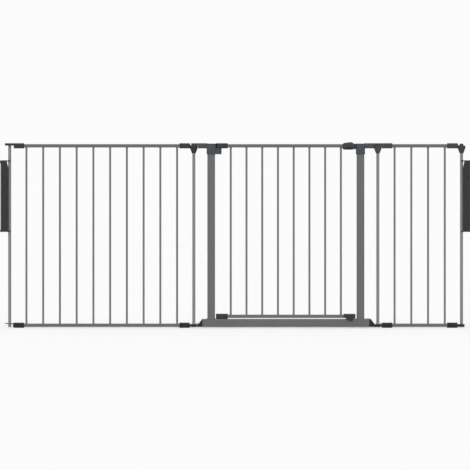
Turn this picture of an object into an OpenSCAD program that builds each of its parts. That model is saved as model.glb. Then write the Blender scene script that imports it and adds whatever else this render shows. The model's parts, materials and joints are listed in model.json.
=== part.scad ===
// Three-section safety gate: a walk-through door between two side panels, held by two walls.
// X runs along the gate, Y through it (the front is -Y) and Z up from the floor.

/* [Overall] */
// Distance between neighbouring uprights in the side panels
bar_pitch = 65.5; // [50:0.5:80]
// Number of uprights in the left panel
left_bars = 10; // [4:1:14]
// Number of uprights in the right panel
right_bars = 4; // [2:1:8]
// Width of the door section, between the axes of its two pivot tubes
gate_w = 720; // [640:5:900]
// Height of the gate, from the floor to the top of its corner sleeves
gate_h = 722; // [600:1:900]
// Distance from the end tubes' axes to the walls
wall_reach = 37; // [32:1:50]

/* [Steel] */
// Diameter of an upright
bar_d = 8; // [6:0.5:10]
// Wall of an upright
bar_wall = 1; // [0.8:0.1:1.5]
// Diameter of the weld at each end of an upright
weld_d = 9.8; // [8.5:0.1:10]
// Height of the weld at each end of an upright
weld_h = 3; // [1:0.5:5]
// Diameter of the pivot tubes
tube_d = 12; // [10:0.5:14]
// Wall of the rails and the pivot tubes
tube_wall = 1.2; // [1:0.1:2]
// Depth of a rail, front to back
rail_d = 16; // [13:0.5:20]
// Height of a rail
rail_h = 13; // [11:0.5:16]
// Corner radius of a rail
rail_r = 3; // [2:0.5:5]
// Depth of the posts and the sill, front to back
frame_d = 22; // [18:0.5:28]
// Width of a post
post_w = 30; // [24:1:40]
// Height of the sill
sill_h = 31.5; // [26:0.5:40]
// Gap between the floor and the sill
sill_gap = 3.5; // [1:0.5:5]
// Corner radius of the posts and the sill
frame_r = 5; // [3:0.5:7]
// Wall of the posts and the sill
frame_wall = 1.5; // [1.2:0.1:2.5]

/* [Corner fittings] */
// Wall of a sleeve beside its rail
sleeve_side = 3; // [2:0.5:4]
// Wall of a sleeve above and below its rail
sleeve_cover = 3.5; // [2.5:0.5:5]
// Corner radius of a sleeve
sleeve_r = 4; // [2:0.5:5]
// Distance from a tube's axis to the near end of a sleeve
sleeve_in = 16.5; // [16:0.5:18]
// Distance from a tube's axis to the far end of a sleeve
sleeve_out = 56; // [45:0.5:58]
// Solid end of a sleeve, beyond its rail
sleeve_stop = 8; // [6:0.5:12]
// Radius of the eye over a tube
eye_r = 10.5; // [9:0.5:11]
// Outward reach of the eye and the lug on the left panel's end tube
nose_reach = 19; // [12:0.5:22]
// Radius of a collar round a tube
collar_r = 15.5; // [13:0.5:15.5]
// Height of a collar's tapered part
collar_taper = 21; // [15:1:30]
// Radius of a collar's lower edge
collar_foot_r = 7.8; // [7.5:0.1:9]
// Thickness of a lug
lug_t = 4; // [3:0.5:4.5]
// Half width of a lug
lug_r = 8.5; // [8:0.5:9]
// Radius of a shoe's eye
shoe_r = 12; // [10:0.5:13]
// Gap between an eye and the end of the fitting beside it
eye_gap = 0.75; // [0.5:0.25:1.5]
// Radial clearance of a turning or sliding fit
run_gap = 0.075; // [0.03:0.005:0.1]

/* [Door] */
// Distance from a pivot tube's axis to the nearest post's axis
post_inset = 68; // [60:1:80]
// Gap between the left post's cap and the door's hinge sleeves
hinge_gap = 0.75; // [0.5:0.25:2]
// Distance from a post's cap to the axis of the nearest upright of the door
door_end_gap = 58.75; // [56:0.25:68]
// Number of uprights in the door
door_bars = 8; // [6:1:10]
// Wall of a post's cap
cap_wall = 3; // [2.5:0.25:3]
// Depth of a post inside its cap
cap_grip = 36; // [25:1:40]
// Height that the door lifts before it swings
door_lift = 12; // [11.5:0.5:13]
// Radius of a hinge pin
pin_r = 4; // [3:0.25:4.5]
// Radius of a hinge bush
bush_r = 6; // [5.5:0.25:6.5]
// Travel of the latch bolt
latch_travel = 9; // [8:0.5:10]
// Radius of the latch bolt
bolt_r = 2.5; // [2:0.25:3]
// Depth of the handle and the lower catch, front to back
handle_d = 30; // [28:1:34]
// Overlap of the lower catch over the sill's edge
catch_overlap = 7.5; // [5:0.5:9]

/* [Wall mounts] */
// Height of a wall cassette
cassette_h = 280; // [220:5:320]
// Distance from the gate's top down to a cassette's top
cassette_drop = 67; // [60:1:120]
// Width of a cassette, front to back
cassette_d = 36; // [32:1:40]
// Wall of a cassette
cassette_wall = 3; // [2.5:0.25:4]
// Thickness of the wall plate
plate_t = 4; // [3:0.5:6]
// Distance between the wall plate's two screw holes
wall_hole_gap = 200; // [140:10:200]
// Diameter of the wall plate's screw holes
wall_hole_d = 5; // [4:0.5:6]
// Distance of the lock screw below a cassette's top
lock_drop = 62; // [50:1:80]

/* [Hidden] */
$fn = 48;

// Colours
STEEL = [0.42, 0.42, 0.43];
FITTING = [0.20, 0.21, 0.23];
BARE = [0.70, 0.70, 0.72];
PLATE = [0.62, 0.63, 0.66];

// Overlap that makes a cut pass right through
CUT = 1;

// Sections
sleeve_d = rail_d + 2 * sleeve_side;
sleeve_h = rail_h + 2 * sleeve_cover;
cap_w = post_w + 2 * cap_wall - 0.5;
cap_d = frame_d + 2 * cap_wall;
cap_roof = 5.5;

// Heights
foot_z = sleeve_h / 2;
rail_z = gate_h - sleeve_h / 2;
sill_top = sill_gap + sill_h;
sill_mid = sill_gap + sill_h / 2;
door_foot_z = sill_top + sleeve_h / 2;
tube_z0 = 3;
lug_z = foot_z + 4.5;
shoe_z0 = sill_gap;
shoe_z1 = lug_z - 0.5;

// Heights in a top fitting, from the rail's axis
eye_z = 1;
seat_z = 6;
post_top = 3;
collar_z = 0.5;
collar_edge = 8.5;
web_z = -sleeve_h / 2;
cap_z0 = post_top - cap_grip;

// Places along the gate
left_w = (left_bars + 1) * bar_pitch;
right_w = (right_bars + 1) * bar_pitch;
total_w = left_w + gate_w + right_w + 2 * wall_reach;
wall_x = total_w / 2;
tube_x = [
    wall_reach - wall_x,
    wall_reach - wall_x + left_w,
    wall_reach - wall_x + left_w + gate_w,
    wall_x - wall_reach
];
left_post_x = tube_x[1] + post_inset;
right_post_x = tube_x[2] - post_inset;
hinge_inset = cap_w / 2 + hinge_gap + sleeve_d / 2;
hinge_x = left_post_x + hinge_inset;
sill_x0 = tube_x[1] + post_inset / 2;
sill_x1 = tube_x[2] - post_inset / 2;
door_x0 = left_post_x + cap_w / 2 + door_end_gap;
door_x1 = right_post_x - cap_w / 2 - door_end_gap;
door_pitch = (door_x1 - door_x0) / (door_bars - 1);

// Screws through the sleeves
screw_r = 1.5;
screw_head_r = 3.2;
screw_head_h = 1.8;
screw_in = 7;
sleeve_screw = (sleeve_out + sleeve_in + sleeve_stop) / 2;

// Door hinges
hinge_end_r = sleeve_d / 2;
hinge_sleeve_l = 35;
hinge_stop = 11;
hinge_roof = 3;
pin_rise = sleeve_h - hinge_roof - 1.5;
pin_root = 20;
bush_rise = sleeve_h - hinge_roof - 1;
key_w = 1.4;
key_r = bush_r + 1;

// Handle and latch, along X from the right post's axis
cap_face = -cap_w / 2;
nose_l = 8;
nose_d = 12;
nose_z0 = -13;
nose_z1 = 5.5;
nose_slot = 0.15;
fork_x1 = cap_face - 1;
handle_x1 = cap_face - nose_l - 1.25;
handle_x0 = handle_x1 - 43.5;
handle_z0 = -15;
handle_z1 = 11;
handle_r = 5;
handle_split = 8;
handle_bevel = 5.5;
fork_z0 = nose_z1 + 2 - door_lift;
fork_roof = 0.5;
fork_wall = 5;
fork_d = nose_d + 1 + 2 * fork_wall;
bolt_z = -8;
bolt_bite = 7.75;
chamber_wall = 3;
chamber_x1 = handle_x1 - chamber_wall;
chamber_l = 21;
chamber_x0 = chamber_x1 - chamber_l;
chamber_d = 14;
chamber_z0 = -12.2;
carriage_l = 6;
slide_gap = 0.2;
carriage_x1 = chamber_x1 - slide_gap;
carriage_x0 = carriage_x1 - carriage_l;
handle_rail_x = chamber_x0 - 1.5;
pad_x1 = handle_x1 - 4;
pad_l = 29;
pad_d = 16;
stem_d = 6;
stem_x0 = carriage_x0 + 0.5;
stem_x1 = carriage_x1 - 1;
handle_screw_x = [handle_x0 + 10.5, handle_x1 - 6];
handle_screw_y = 11.2;
handle_head = 2.5;
handle_thread = 2;
spring_turns = 4.5;
spring_wire_r = 0.45;
spring_r = 3.3;
spring_steps = 16;
spring_sides = 6;

// Lower catch, along X from the right post's axis
catch_x0 = -65.5;
catch_x1 = -20;
catch_rail_x = -45;
catch_z0 = 1 - sleeve_h / 2;
catch_z1 = sleeve_h / 2 - 0.5;
catch_bevel = 8;
tongue_gap = 0.6;
tongue_x = [-53, -29];
tongue_slope = 4;
catch_screw_lift = 2.2;
door_screw_x = [hinge_x + (hinge_stop + hinge_sleeve_l) / 2, right_post_x - 55];

// Wall mounts, along X from the end tube's axis, away from the gate
cassette_face = tube_d / 2 + 1;
plate_front = wall_reach - plate_t;
cassette_top = gate_h - cassette_drop;
cassette_z = cassette_top - cassette_h;
cap_top = 12;
cap_bottom = 8;
plate_z0 = cassette_z + cap_bottom;
plate_z1 = cassette_top - cap_top;
plate_d = cassette_d - 2;
lock_z = cassette_top - lock_drop;
lock_x = wall_reach - 13;
lock_r = 2;
lock_head_r = 4.5;
lock_recess = 2;
boss_d = 12;
boss_h = 16;
clip_t = 4;
clip_wall = 2.4;
clip_open = 3;

// Basic shapes

// Rounded rectangle, centred, with true arcs at its corners
module round_rect(w, h, r) {
    square([w - 2 * r, h], center = true);
    square([w, h - 2 * r], center = true);
    for (x = [-1, 1], y = [-1, 1])
        translate([x * (w / 2 - r), y * (h / 2 - r)]) circle(r);
}

// Solid bar along X from x0 to x1, d deep and h high
module bar_x(x0, x1, z, d, h, r) {
    translate([x0, 0, z]) rotate([90, 0, 90]) linear_extrude(x1 - x0) round_rect(d, h, r);
}

// Outline in the XZ plane, extruded to d deep and centred on Y
module side_plate(points, d) {
    translate([0, d / 2, 0]) rotate([90, 0, 0]) linear_extrude(d) polygon(points);
}

// Outer shape of a rail
module rail_solid(x0, x1, z) {
    bar_x(x0, x1, z, rail_d, rail_h, rail_r);
}

// Sleeve section from x0 to x1
module sleeve_solid(x0, x1) {
    bar_x(x0, x1, 0, sleeve_d, sleeve_h, sleeve_r);
}

// Outer shape of the sill
module sill_solid(x0, x1) {
    bar_x(x0, x1, sill_mid, frame_d, sill_h, frame_r);
}

// Inner shape of the sill
module sill_hollow(x0, x1) {
    inner_d = frame_d - 2 * frame_wall;
    inner_h = sill_h - 2 * frame_wall;
    bar_x(x0, x1, sill_mid, inner_d, inner_h, frame_r - frame_wall);
}

// Outer shape of a post at x, from z0 to z1
module post_solid(x, z0, z1) {
    translate([x, 0, z0]) linear_extrude(z1 - z0) round_rect(post_w, frame_d, frame_r);
}

// Screws from the back of a sleeve into its rail

module screw(x, z, face_y) {
    translate([x, face_y, z]) rotate([-90, 0, 0]) {
        translate([0, 0, -screw_in]) cylinder(r = screw_r, h = screw_in);
        cylinder(r1 = screw_head_r, r2 = screw_head_r - 0.9, h = screw_head_h);
    }
}

module screw_hole(x, z, face_y) {
    translate([x, face_y - screw_in, z]) rotate([-90, 0, 0])
        cylinder(r = screw_r, h = screw_in + CUT);
}

// Rails, uprights and tubes

// Hollow rail from x0 to x1, drilled for a screw at each place in holes
module rail(x0, x1, z, holes) {
    inner_d = rail_d - 2 * tube_wall;
    inner_h = rail_h - 2 * tube_wall;
    color(STEEL) difference() {
        rail_solid(x0, x1, z);
        bar_x(x0 - CUT, x1 + CUT, z, inner_d, inner_h, rail_r - tube_wall);
        for (x = holes) screw_hole(x, z, sleeve_d / 2);
    }
}

// One hollow upright, welded to a rail at each end
module upright(x, z0, z1) {
    translate([x, 0, z0]) difference() {
        union() {
            cylinder(d = bar_d, h = z1 - z0);
            cylinder(d1 = weld_d, d2 = bar_d, h = weld_h);
            translate([0, 0, z1 - z0 - weld_h]) cylinder(d1 = bar_d, d2 = weld_d, h = weld_h);
        }
        translate([0, 0, -CUT]) cylinder(d = bar_d - 2 * bar_wall, h = z1 - z0 + 2 * CUT);
    }
}

// Row of uprights between two rails
module uprights(x0, pitch, count, foot) {
    color(STEEL)
        for (i = [0:count - 1])
            upright(x0 + i * pitch, foot + rail_h / 2, rail_z - rail_h / 2);
}

// Pivot tube
module pivot_tube(x, top) {
    color(STEEL) translate([x, 0, tube_z0]) difference() {
        cylinder(d = tube_d, h = top - tube_z0);
        translate([0, 0, -CUT])
            cylinder(d = tube_d - 2 * tube_wall, h = top - tube_z0 + 2 * CUT);
    }
}

// Corner fittings, with the tube's axis at the origin and the rail's axis at z = 0

// Tongue with an eye that covers a tube's end and reaches nose past its axis
module eye_tongue(nose, reach) {
    intersection() {
        translate([0, 0, eye_z]) linear_extrude(sleeve_h / 2 - eye_z) {
            translate([eye_r - nose, 0]) circle(eye_r);
            translate([eye_r - nose, -eye_r]) square([reach + nose - eye_r, 2 * eye_r]);
        }
        sleeve_solid(-nose - CUT, reach);
    }
}

// Blind seat for a tube's top end
module tube_seat() {
    cylinder(d = tube_d, h = seat_z);
}

// Top fitting over a panel's own tube, with its rail towards +X
module eye_fitting(nose) {
    color(FITTING) difference() {
        union() {
            sleeve_solid(sleeve_in, sleeve_out);
            eye_tongue(nose, sleeve_in + CUT);
        }
        rail_solid(sleeve_in + sleeve_stop, sleeve_out + CUT, 0);
        tube_seat();
        screw_hole(sleeve_screw, 0, sleeve_d / 2);
    }
}

// Collar that turns on the next section's tube, with a web towards -X
module collar_shape(web_l) {
    translate([0, 0, collar_z - collar_edge]) cylinder(r = collar_r, h = collar_edge);
    translate([0, 0, collar_z - collar_edge - collar_taper])
        cylinder(r1 = collar_foot_r, r2 = collar_r, h = collar_taper);
    side_plate([
        [-web_l, collar_z], [0, collar_z],
        [0, web_z - sleeve_side], [-web_l, web_z]
    ], sleeve_d - 2 * sleeve_r);
}

// Turning bore through a collar
module collar_bore() {
    translate([0, 0, collar_z - collar_edge - collar_taper - CUT])
        cylinder(r = tube_d / 2 + run_gap, h = collar_edge + collar_taper + 2 * CUT);
}

// End of a sleeve above its collar, sloping up and away from the eye beside it
module sloped_end() {
    foot = -eye_r - eye_gap;
    intersection() {
        sleeve_solid(-sleeve_in - CUT, foot);
        side_plate([
            [-sleeve_in - CUT, collar_z - CUT], [foot, collar_z - CUT], [foot, collar_z],
            [-sleeve_in, sleeve_h / 2], [-sleeve_in - CUT, sleeve_h / 2]
        ], sleeve_d);
    }
}

// Top fitting that hooks onto the next tube, with its rail towards -X
module collar_fitting() {
    color(FITTING) difference() {
        union() {
            sleeve_solid(-sleeve_out, -sleeve_in);
            sloped_end();
            collar_shape(sleeve_in + CUT);
        }
        rail_solid(-sleeve_out - CUT, -sleeve_in - sleeve_stop, 0);
        collar_bore();
        screw_hole(-sleeve_screw, 0, sleeve_d / 2);
    }
}

// Lug plate round a tube, reaching into the fitting on its +X side
module lug(nose, reach) {
    translate([0, 0, lug_z]) linear_extrude(lug_t) difference() {
        union() {
            circle(lug_r);
            translate([0, -lug_r]) square([reach, 2 * lug_r]);
            if (nose > lug_r)
                polygon([[0, lug_r], [-lug_r, lug_r / 2 + 1], [-nose, 2], [-nose, -2],
                         [-lug_r, -lug_r / 2 - 1], [0, -lug_r]]);
        }
        circle(d = tube_d);
    }
}

// Pocket that holds a lug, from x0 to x1
module lug_pocket(x0, x1) {
    translate([x0, -lug_r, lug_z]) cube([x1 - x0, 2 * lug_r, lug_t]);
}

// Bottom fitting of a panel's own tube, with its rail towards +X
module foot_fitting() {
    color(FITTING) difference() {
        union() {
            translate([0, 0, foot_z]) sleeve_solid(sleeve_in, sleeve_out);
            translate([shoe_r + eye_gap, CUT - shoe_r, shoe_z0])
                cube([sleeve_in - shoe_r - eye_gap + CUT, 2 * shoe_r - 2 * CUT, shoe_z1 - shoe_z0]);
        }
        rail_solid(sleeve_in + sleeve_stop, sleeve_out + CUT, foot_z);
        lug_pocket(sleeve_in - CUT, sleeve_in + sleeve_stop);
        screw_hole(sleeve_screw, foot_z, sleeve_d / 2);
    }
}

// Tongue with an eye round the lower end of the next tube, with a stem towards -X
module shoe_tongue(reach) {
    translate([0, 0, shoe_z0]) linear_extrude(shoe_z1 - shoe_z0) {
        circle(shoe_r);
        translate([-reach, -shoe_r + CUT]) square([reach, 2 * shoe_r - 2 * CUT]);
    }
}

// Turning bore through a shoe
module shoe_bore() {
    translate([0, 0, shoe_z0 - CUT])
        cylinder(r = tube_d / 2 + run_gap, h = shoe_z1 - shoe_z0 + 2 * CUT);
}

// Bottom fitting that hooks onto the next tube, with its rail towards -X
module shoe_fitting() {
    color(FITTING) difference() {
        union() {
            translate([0, 0, foot_z]) sleeve_solid(-sleeve_out, -sleeve_in);
            shoe_tongue(sleeve_in + CUT);
        }
        rail_solid(-sleeve_out - CUT, -sleeve_in - sleeve_stop, foot_z);
        shoe_bore();
        screw_hole(-sleeve_screw, foot_z, sleeve_d / 2);
    }
}

// Four screws of a side panel between two tubes
module panel_screws(x0, x1) {
    color(BARE)
        for (x = [x0 + sleeve_screw, x1 - sleeve_screw], z = [foot_z, rail_z])
            screw(x, z, sleeve_d / 2);
}

// Rail of a side panel between two tubes
module panel_rail(x0, x1, z) {
    rail(x0 + sleeve_in + sleeve_stop, x1 - sleeve_in - sleeve_stop, z,
         [x0 + sleeve_screw, x1 - sleeve_screw]);
}

// Door section: the fixed frame

module sill() {
    color(STEEL) difference() {
        sill_solid(sill_x0, sill_x1);
        sill_hollow(sill_x0 - CUT, sill_x1 + CUT);
        translate([hinge_x, 0, sill_top - frame_wall - CUT])
            cylinder(r = pin_r, h = frame_wall + 2 * CUT);
    }
}

// Post that stands on the sill, shaped to its rounded top edges
module post(x) {
    inner_w = post_w - 2 * frame_wall;
    inner_d = frame_d - 2 * frame_wall;
    z0 = sill_top - frame_r - CUT;
    z1 = rail_z + post_top;
    color(STEEL) difference() {
        post_solid(x, z0, z1);
        translate([x, 0, z0 - CUT]) linear_extrude(z1 - z0 + 2 * CUT)
            round_rect(inner_w, inner_d, frame_r - frame_wall);
        sill_solid(sill_x0, sill_x1);
        screw_hole(x, rail_z - cap_grip / 2, cap_d / 2);
    }
}

// End cap of the sill, sloping down towards its tube from the shoulder to the knee;
// side is -1 on the left and 1 on the right
module sill_cap(tube, side, shoulder, knee) {
    root = post_inset / 2;
    near = shoe_r + eye_gap;
    translate([tube, 0, 0]) mirror([side > 0 ? 1 : 0, 0, 0]) {
        intersection() {
            side_plate([
                [near, sill_gap], [root, sill_gap], [root, sill_top],
                [root - shoulder, sill_top], [root - knee, shoe_z1 + 2], [root - knee, shoe_z1],
                [near, shoe_z1]
            ], frame_d);
            sill_solid(near, root);
        }
        sill_hollow(root - CUT, root + 18);
    }
}

module sill_cap_left() {
    color(FITTING) difference() {
        sill_cap(tube_x[1], -1, 1.5, 14.5);
        translate([tube_x[1], 0, 0]) lug_pocket(sleeve_in - CUT, post_inset / 2 - 4);
    }
}

module sill_cap_right() {
    lip_l = 12;
    lip_t = 1.5;
    color(FITTING) difference() {
        union() {
            sill_cap(tube_x[2], 1, 6, 20.5);
            translate([sill_x1 - lip_l, frame_r - frame_d / 2, sill_top])
                cube([lip_l + CUT, frame_d - 2 * frame_r, lip_t]);
            translate([sill_x1, frame_r - frame_d / 2, sill_top - CUT])
                cube([CUT, frame_d - 2 * frame_r, lip_t + CUT]);
            translate([tube_x[2], 0, 0]) shoe_tongue(sleeve_in + CUT);
        }
        translate([tube_x[2], 0, 0]) shoe_bore();
    }
}

// Cap over a post's top, with the rail's axis at z = 0
module post_cap() {
    translate([0, 0, cap_z0]) linear_extrude(post_top + cap_roof - cap_z0)
        round_rect(cap_w, cap_d, frame_r + 1);
}

// Pocket in a cap for its post
module post_pocket() {
    translate([0, 0, cap_z0 - CUT]) linear_extrude(post_top - cap_z0 + CUT)
        round_rect(post_w, frame_d, frame_r);
}

module left_post_bracket() {
    color(FITTING) translate([left_post_x, 0, rail_z]) difference() {
        union() {
            post_cap();
            sleeve_solid(sleeve_in - post_inset, -post_w / 2);
            translate([-post_inset, 0, 0]) eye_tongue(eye_r, sleeve_in + CUT);
            translate([0, 0, cap_z0]) linear_extrude(web_z - cap_z0) {
                translate([0, -hinge_end_r]) square([hinge_inset, 2 * hinge_end_r]);
                translate([hinge_inset, 0]) circle(hinge_end_r);
            }
        }
        post_pocket();
        translate([-post_inset, 0, 0]) tube_seat();
        translate([hinge_inset, 0, web_z - pin_root]) cylinder(r = pin_r, h = pin_root + CUT);
        screw_hole(0, -cap_grip / 2, cap_d / 2);
    }
}

module right_post_bracket() {
    color(FITTING) translate([right_post_x, 0, rail_z]) difference() {
        union() {
            post_cap();
            sleeve_solid(post_w / 2, post_inset - sleeve_in);
            intersection() {
                sleeve_solid(post_inset - sleeve_in - CUT, post_inset - eye_r - eye_gap);
                translate([0, -sleeve_d / 2, collar_z - CUT])
                    cube([post_inset, sleeve_d, sleeve_h]);
            }
            translate([post_inset, 0, 0]) collar_shape(sleeve_in + CUT);
            translate([cap_face - nose_l, -nose_d / 2, nose_z0])
                cube([nose_l + CUT, nose_d, nose_z1 - nose_z0]);
        }
        post_pocket();
        translate([post_inset, 0, 0]) collar_bore();
        translate([cap_face - nose_l - CUT, -bolt_r - nose_slot, bolt_z - bolt_r - 2 * nose_slot])
            cube([nose_l + CUT, 2 * (bolt_r + nose_slot), nose_z1 - nose_z0]);
        screw_hole(0, -cap_grip / 2, cap_d / 2);
    }
}

module gate_lug() {
    color(STEEL) translate([tube_x[1], 0, 0]) lug(0, post_inset / 2 - 4);
}

module bracket_screws() {
    color(BARE)
        for (x = [left_post_x, right_post_x])
            screw(x, rail_z - cap_grip / 2, cap_d / 2);
}

module upper_hinge_pin() {
    color(BARE) translate([hinge_x, 0, rail_z + web_z - pin_root])
        cylinder(r = pin_r, h = pin_root + pin_rise);
}

// Lower pin, with a flange under the sill's top wall
module lower_hinge_pin() {
    flange_r = pin_r + 2;
    flange_t = 3;
    color(BARE) translate([hinge_x, 0, sill_top - frame_wall]) {
        cylinder(r = pin_r, h = frame_wall + pin_rise);
        translate([0, 0, -flange_t]) cylinder(r = flange_r, h = flange_t);
    }
}

// Door section: the door

// Keyed bush round a pin, standing on its bracket at z
module hinge_bush(z) {
    color(BARE) translate([hinge_x, 0, z]) difference() {
        union() {
            cylinder(r = bush_r, h = bush_rise);
            translate([0, -key_w / 2, 0]) cube([key_r, key_w, bush_rise]);
        }
        translate([0, 0, -CUT]) cylinder(r = pin_r + run_gap, h = bush_rise + 2 * CUT);
    }
}

// Sleeve on the door's hinge side, blind above its bush, with its rail's axis at z
module hinge_sleeve(z) {
    bore_h = sleeve_h - hinge_roof;
    color(FITTING) translate([hinge_x, 0, z]) difference() {
        intersection() {
            translate([0, 0, -sleeve_h / 2]) linear_extrude(sleeve_h) {
                circle(hinge_end_r);
                translate([0, -hinge_end_r]) square([hinge_sleeve_l, 2 * hinge_end_r]);
            }
            sleeve_solid(-hinge_end_r, hinge_sleeve_l);
        }
        rail_solid(hinge_stop, hinge_sleeve_l + CUT, 0);
        translate([0, 0, -sleeve_h / 2 - CUT])
            cylinder(r = bush_r + run_gap, h = bore_h + CUT);
        translate([0, -key_w / 2 - slide_gap, -sleeve_h / 2 - CUT])
            cube([key_r + slide_gap, key_w + 2 * slide_gap, bore_h + CUT]);
        screw_hole((hinge_stop + hinge_sleeve_l) / 2, 0, sleeve_d / 2);
    }
}

module door_top_rail() {
    rail(hinge_x + hinge_stop, right_post_x + handle_rail_x, rail_z, [door_screw_x[0]]);
}

module door_bottom_rail() {
    color(STEEL) difference() {
        rail(hinge_x + hinge_stop, right_post_x + catch_rail_x, door_foot_z, [door_screw_x[0]]);
        translate([0, catch_screw_lift, 0])
            screw_hole(door_screw_x[1], door_foot_z, sleeve_d / 2);
    }
}

module door_screws() {
    color(BARE) {
        screw(door_screw_x[0], rail_z, sleeve_d / 2);
        screw(door_screw_x[0], door_foot_z, sleeve_d / 2);
        translate([0, catch_screw_lift, 0])
            screw(door_screw_x[1], door_foot_z, sleeve_d / 2);
    }
}

// Section of the handle and the catch: d deep, from z0 to z1, round along its top edges
module top_rounded_bar(x0, x1, d, z0, z1, r) {
    h = z1 - z0;
    translate([x0, 0, z0]) rotate([90, 0, 90]) linear_extrude(x1 - x0) {
        translate([-d / 2, 0]) square([d, h - r]);
        translate([r - d / 2, 0]) square([d - 2 * r, h]);
        for (y = [-1, 1]) translate([y * (d / 2 - r), h - r]) circle(r);
    }
}

// Tongue of the catch in front of or behind the sill; side is -1 or 1
module catch_tongue(side) {
    tip_z = catch_z0 - 1 - catch_overlap;
    cheek = (handle_d - frame_d) / 2 - tongue_gap;
    y = side * (handle_d - cheek) / 2;
    translate([0, y, 0]) side_plate([
        [tongue_x[0], catch_z0 + CUT], [tongue_x[1], catch_z0 + CUT],
        [tongue_x[1] - tongue_slope, tip_z], [tongue_x[0] + tongue_slope, tip_z]
    ], cheek);
}

module door_catch() {
    color(FITTING) translate([right_post_x, 0, door_foot_z]) difference() {
        union() {
            intersection() {
                top_rounded_bar(catch_x0, catch_x1, handle_d, catch_z0, catch_z1, sleeve_r);
                side_plate([
                    [catch_x0, catch_z1], [catch_x1, catch_z1], [catch_x1, catch_z0],
                    [catch_x0 + catch_bevel, catch_z0], [catch_x0, catch_z0 + catch_bevel]
                ], handle_d);
            }
            catch_tongue(-1);
            catch_tongue(1);
        }
        rail_solid(catch_x0 - CUT, catch_rail_x, 0);
        translate([door_screw_x[1] - right_post_x, 0, 0]) rotate([-90, 0, 0]) {
            cylinder(r = screw_r, h = handle_d);
            translate([0, 0, sleeve_d / 2 + catch_screw_lift])
                cylinder(r = screw_head_r + slide_gap, h = handle_d);
        }
    }
}

// Outer shape of the handle between two heights
module handle_shell(z0, z1) {
    mid = (handle_z0 + handle_z1) / 2;
    intersection() {
        bar_x(handle_x0, handle_x1, mid, handle_d, handle_z1 - handle_z0, handle_r);
        side_plate([
            [handle_x0, handle_z0 + handle_bevel], [handle_x0 + handle_bevel, handle_z0],
            [handle_x1, handle_z0], [handle_x1, handle_z1],
            [handle_x0 + handle_bevel, handle_z1], [handle_x0, handle_z1 - handle_bevel]
        ], handle_d);
        translate([handle_x0, -handle_d / 2, z0])
            cube([handle_x1 - handle_x0, handle_d, z1 - z0]);
    }
}

// Places of the handle's screws
module at_handle_screws() {
    for (x = handle_screw_x, y = [-handle_screw_y, handle_screw_y])
        translate([x, y, handle_z0]) children();
}

module handle_housing() {
    slot_d = nose_d + 1;
    color(FITTING) translate([right_post_x, 0, rail_z]) difference() {
        union() {
            handle_shell(handle_z0, handle_split);
            translate([handle_x1 - CUT, -fork_d / 2, fork_z0])
                cube([fork_x1 - handle_x1 + CUT, fork_d, handle_split - fork_z0]);
        }
        rail_solid(handle_x0 - CUT, handle_rail_x, 0);
        translate([chamber_x0, -chamber_d / 2, chamber_z0])
            cube([chamber_l, chamber_d, handle_split - chamber_z0 + CUT]);
        translate([chamber_x1 - CUT, 0, bolt_z]) rotate([0, 90, 0])
            cylinder(r = bolt_r + run_gap, h = chamber_wall + 2 * CUT);
        translate([handle_x1, -slot_d / 2, fork_z0 - CUT])
            cube([fork_x1 - handle_x1 + CUT, slot_d, nose_z1 + fork_roof - fork_z0 + CUT]);
        at_handle_screws() {
            translate([0, 0, -CUT]) cylinder(r = screw_r, h = 40);
            translate([0, 0, -CUT]) cylinder(r = screw_head_r, h = handle_head + CUT);
        }
    }
}

module handle_cover() {
    slot_d = stem_d + 2 * slide_gap;
    color(FITTING) translate([right_post_x, 0, rail_z]) difference() {
        handle_shell(handle_split, handle_z1);
        translate([stem_x0 - latch_travel - slide_gap, -slot_d / 2, handle_split - CUT])
            cube([stem_x1 - stem_x0 + latch_travel + 2 * slide_gap, slot_d, 10]);
        at_handle_screws()
            cylinder(r = screw_r, h = handle_split - handle_z0 + handle_thread);
    }
}

module handle_screws() {
    color(BARE) translate([right_post_x, 0, rail_z]) at_handle_screws() {
        translate([0, 0, handle_head - 2]) cylinder(r = screw_head_r - slide_gap, h = 2);
        translate([0, 0, handle_head])
            cylinder(r = screw_r, h = handle_split - handle_z0 + handle_thread - handle_head);
    }
}

// Thumb pad, its stem and the carriage that holds the bolt
module thumb_slide() {
    pad_z = handle_z1 + slide_gap;
    pad_x0 = pad_x1 - pad_l;
    carriage_d = chamber_d - 2 * slide_gap;
    carriage_z0 = chamber_z0 + slide_gap;
    color(FITTING) translate([right_post_x, 0, rail_z]) difference() {
        union() {
            translate([carriage_x0, -carriage_d / 2, carriage_z0])
                cube([carriage_l, carriage_d, handle_split - slide_gap - carriage_z0]);
            translate([stem_x0, -stem_d / 2, 0])
                cube([stem_x1 - stem_x0, stem_d, pad_z + 0.5]);
            side_plate([
                [pad_x0, pad_z], [pad_x1, pad_z], [pad_x1, pad_z + 1.6],
                [pad_x1 - 3, pad_z + 3], [pad_x1 - 8, pad_z + 2.6], [pad_x0, pad_z + 0.8]
            ], pad_d);
        }
        translate([carriage_x0 - CUT, 0, bolt_z]) rotate([0, 90, 0])
            cylinder(r = bolt_r, h = carriage_l + 2 * CUT);
    }
}

module latch_bolt() {
    tip = cap_face - nose_l + bolt_bite;
    color(BARE) translate([right_post_x + carriage_x0, 0, rail_z + bolt_z])
        rotate([0, 90, 0]) cylinder(r = bolt_r, h = tip - carriage_x0);
}

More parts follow.
